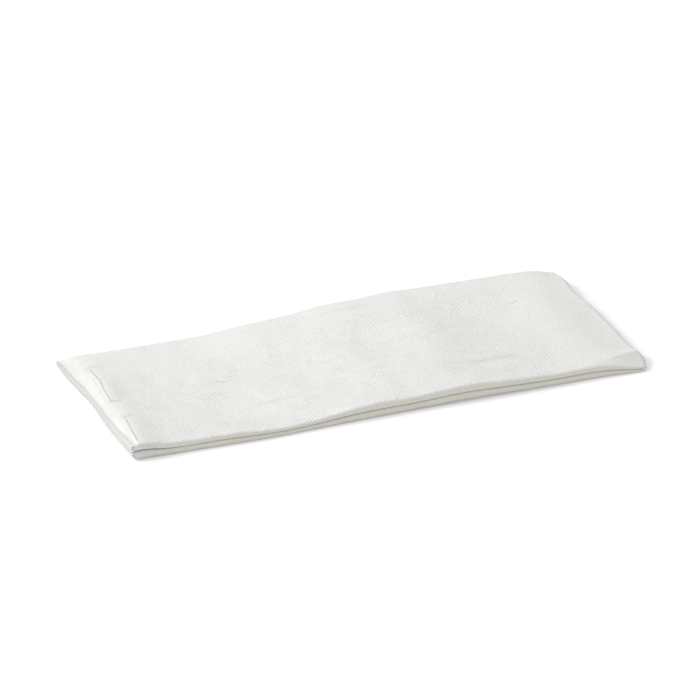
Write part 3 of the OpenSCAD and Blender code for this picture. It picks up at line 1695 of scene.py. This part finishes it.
@dataclass(frozen=True)
class FloorFinish:
    """A plain white floor that keeps the napkin's shadow.

    Attributes:
        colour: The floor's own colour, which takes the light and the shadow.
        glow: How much is added for the camera, so that the lit floor shows white.
    """

    colour: float = 0.80
    glow: float = 0.30

    def material(self) -> bpy.types.Material:
        """Makes the material.

        Returns:
            The floor's material.
        """
        made, book = empty_material("floor")
        seen = book.add("ShaderNodeLightPath", {}, {}, "Is Camera Ray")
        lit = book.add(
            "ShaderNodeBsdfDiffuse", {}, {"Color": (self.colour, self.colour, self.colour, 1.0)}
        )
        glow = book.add("ShaderNodeEmission", {}, {"Color": (1, 1, 1, 1), "Strength": seen * self.glow})
        both = book.add("ShaderNodeAddShader", {}, {0: lit, 1: glow})
        book.add("ShaderNodeOutputMaterial", {}, {"Surface": both})
        return made


@dataclass(frozen=True)
class Studio:
    """The floor, the lights and the camera.

    Attributes:
        azimuth: Camera's angle about Z, 0 from the front and below zero from the left.
        elevation: Camera's angle above the floor.
        roll: How far the camera is turned about its own axis.
        distance: Distance from the camera to its target.
        target: Point at the middle of the picture.
        focal: Focal length.
        sensor: Width of the camera's sensor.
        sight: How far the camera sees.
        floor_side: Side of the square floor.
        lamp_place: Where the square lamp hangs.
        lamp_side: Its side.
        lamp_power: Its power in watts.
        daylight: How strongly the white surroundings light the napkin.
    """

    azimuth: float = -21.3
    elevation: float = 24.4
    roll: float = -0.6
    distance: float = 1632.6
    target: tuple[float, float, float] = (18.1, 50.3, -16.5)
    focal: float = 205.7
    sensor: float = 36.0
    sight: float = 50000.0
    floor_side: float = 9000.0
    lamp_place: tuple[float, float, float] = (-2450.0, 760.0, 1860.0)
    lamp_side: float = 1200.0
    lamp_power: float = 70.0
    daylight: float = 0.595

    def floor(self) -> None:
        """Makes the floor."""
        half = self.floor_side / 2 * MM
        mesh = bpy.data.meshes.new("floor")
        corners = [(-half, -half, 0), (half, -half, 0), (half, half, 0), (-half, half, 0)]
        mesh.from_pydata(corners, [], [(0, 1, 2, 3)])
        mesh.materials.append(FloorFinish().material())
        piece = bpy.data.objects.new("floor", mesh)
        bpy.context.collection.objects.link(piece)

    def lamp(self) -> None:
        """Makes the square lamp, which faces the napkin."""
        data = bpy.data.lights.new("key", "AREA")
        data.size = self.lamp_side * MM
        data.energy = self.lamp_power
        lamp = bpy.data.objects.new("key", data)
        lamp.location = Vector(self.lamp_place) * MM
        lamp.rotation_euler = (-lamp.location).to_track_quat("-Z", "Y").to_euler()
        bpy.context.collection.objects.link(lamp)

    def world(self) -> None:
        """Makes the plain white surroundings, which the camera sees as white."""
        made = bpy.data.worlds.new("studio")
        made.use_nodes = True
        made.node_tree.nodes.clear()
        book = NodeBook(made.node_tree)
        seen, glossy, through = (
            book.add("ShaderNodeLightPath", {}, {}, ray)
            for ray in ("Is Camera Ray", "Is Glossy Ray", "Is Transmission Ray")
        )
        white = seen.at_least(glossy).at_least(through)
        light = white * (1.0 - self.daylight) + self.daylight
        back = book.add("ShaderNodeBackground", {}, {"Color": (1, 1, 1, 1), "Strength": light})
        book.add("ShaderNodeOutputWorld", {}, {"Surface": back})
        bpy.context.scene.world = made

    def camera(self) -> None:
        """Makes the camera at the photograph's viewing angle."""
        a, e = math.radians(self.azimuth), math.radians(self.elevation)
        away = Vector((math.sin(a) * math.cos(e), -math.cos(a) * math.cos(e), math.sin(e)))
        data = bpy.data.cameras.new("camera")
        data.sensor_width = self.sensor
        data.lens = self.focal
        data.clip_end = self.sight * MM
        camera = bpy.data.objects.new("camera", data)
        camera.location = (Vector(self.target) + away * self.distance) * MM
        turned = (-away).to_track_quat("-Z", "Y") @ Quaternion((0, 0, 1), math.radians(self.roll))
        camera.rotation_euler = turned.to_euler()
        bpy.context.collection.objects.link(camera)
        bpy.context.scene.camera = camera

    def build(self) -> None:
        """Makes everything round the napkin."""
        self.floor()
        self.world()
        self.lamp()
        self.camera()
        bpy.context.scene.view_settings.view_transform = "Standard"


def main() -> None:
    """Builds the napkin and the studio round it."""
    logging.basicConfig(level=logging.INFO, format="%(name)s: %(message)s")
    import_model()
    low, high = (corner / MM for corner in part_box(NODE))
    span = high - low
    size = FoldedSize(length=span.x, width=span.y, height=span.z)
    edge = PressedEdge(size)
    sheet = FoldedSheet(size, edge, SoftLie(size, edge), Flattened(size, edge))
    piece = sheet.build("napkin_sheet")
    emboss = DotEmboss(across=sheet.dots_across, along=sheet.dots_along)
    tissue = TissueFinish(emboss.across, emboss.along, edge.width).material()
    emboss.press(piece, tissue)
    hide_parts(NODE)
    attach(piece, "root")
    log.info("%s: %d faces, sheet %.0f by %.0f mm", piece.name, len(piece.data.polygons), *sheet.flat_size())
    Studio().build()
    log.info("studio: camera, lamp, surroundings and floor")


if __name__ == "__main__":
    main()
